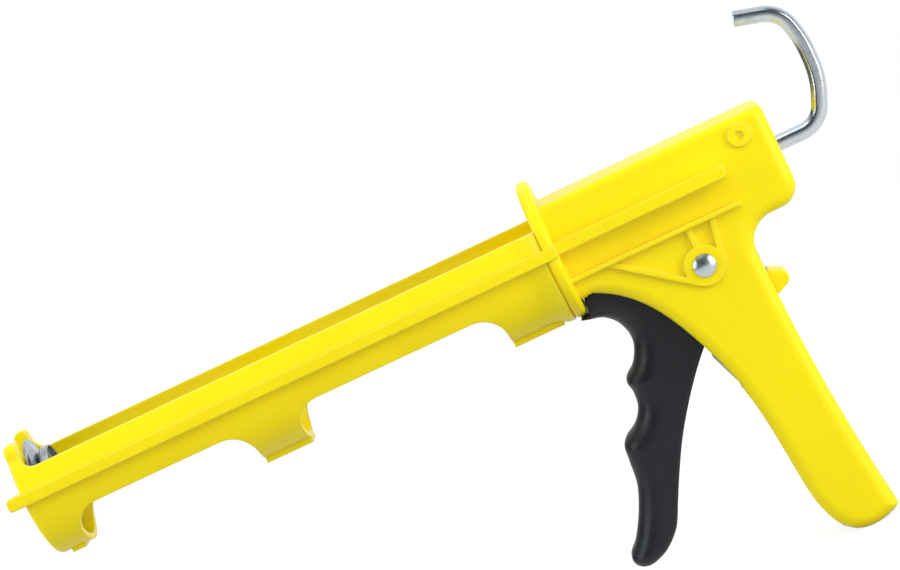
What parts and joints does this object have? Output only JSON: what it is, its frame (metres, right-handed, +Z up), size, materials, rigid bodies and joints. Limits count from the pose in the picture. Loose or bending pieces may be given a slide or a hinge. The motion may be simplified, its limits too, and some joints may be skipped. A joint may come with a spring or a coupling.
{
  "type": "caulking gun",
  "caption": "Hand-squeezed caulking gun: open composite cradle for a sealant cartridge, trigger-driven hex push rod with ladder hook, plunger and thumb release.",
  "frame": {"origin": "on the push rod's axis, at the inner face of the front plate that the cartridge's shoulder bears on", "axes": "+X rearwards along the push rod towards the ladder hook, +Z up with the handle pointing down, +Y across the gun to the side of the rivet's formed tail"},
  "size_m": [0.3644, 0.063, 0.2084],
  "materials": {
    "yellow_composite": "smooth injection-moulded glass-filled nylon, slight sheen",
    "black_composite": "satin moulded, fine spark texture",
    "zinc_steel": "bright zinc plated cold-drawn bar",
    "bright_steel": "bright nickel plated pressing",
    "spring_steel": "drawn spring wire"
  },
  "bodies": {
    "frame": {"frame_moulding": "yellow_composite", "pivot_rivet": "bright_steel", "rivet_washer": "bright_steel", "fulcrum_pin": "bright_steel", "drive_spring_washer": "zinc_steel", "lock_spring_washer": "zinc_steel", "drive_spring": "spring_steel", "lock_spring": "spring_steel", "trigger_spring": "spring_steel"},
    "trigger": {"trigger": "black_composite", "thrust_pin": "bright_steel"},
    "push_rod": {"push_rod": "zinc_steel", "plunger_disc": "bright_steel", "plunger_cup": "bright_steel", "plunger_lock_washer": "zinc_steel", "plunger_nut": "zinc_steel"},
    "drive_plates": {"front_drive_plate": "zinc_steel", "rear_drive_plate": "zinc_steel"},
    "release_lever": {"release_lever": "zinc_steel", "thumb_pad": "yellow_composite"}
  },
  "joints": [
    {"name": "trigger_squeeze", "type": "hinge", "parent": "frame", "child": "trigger", "pos_m": [0.2781, 0, -0.0295], "axis": [0, -1, 0], "range_deg": [0, 20], "stiffness_Nm_per_rad": 0.5, "springref_deg": -22.92, "deforming": ["trigger_spring"]},
    {"name": "plate_drive", "type": "slide", "parent": "frame", "child": "drive_plates", "axis": [-1, 0, 0], "range_m": [0, 0.0075], "deforming": ["drive_spring"]},
    {"name": "rod_slide", "type": "slide", "parent": "frame", "child": "push_rod", "axis": [1, 0, 0], "range_m": [0, 0.214]},
    {"name": "release_press", "type": "hinge", "parent": "frame", "child": "release_lever", "pos_m": [0.3117, 0, 0.0114], "axis": [0, 1, 0], "range_deg": [0, 6], "stiffness_Nm_per_rad": 0.5, "springref_deg": -8.59, "deforming": ["lock_spring"]}
  ],
  "couplings": [
    {"joint": "plate_drive", "follows": "trigger_squeeze", "m_per_rad": 0.02103}
  ]
}
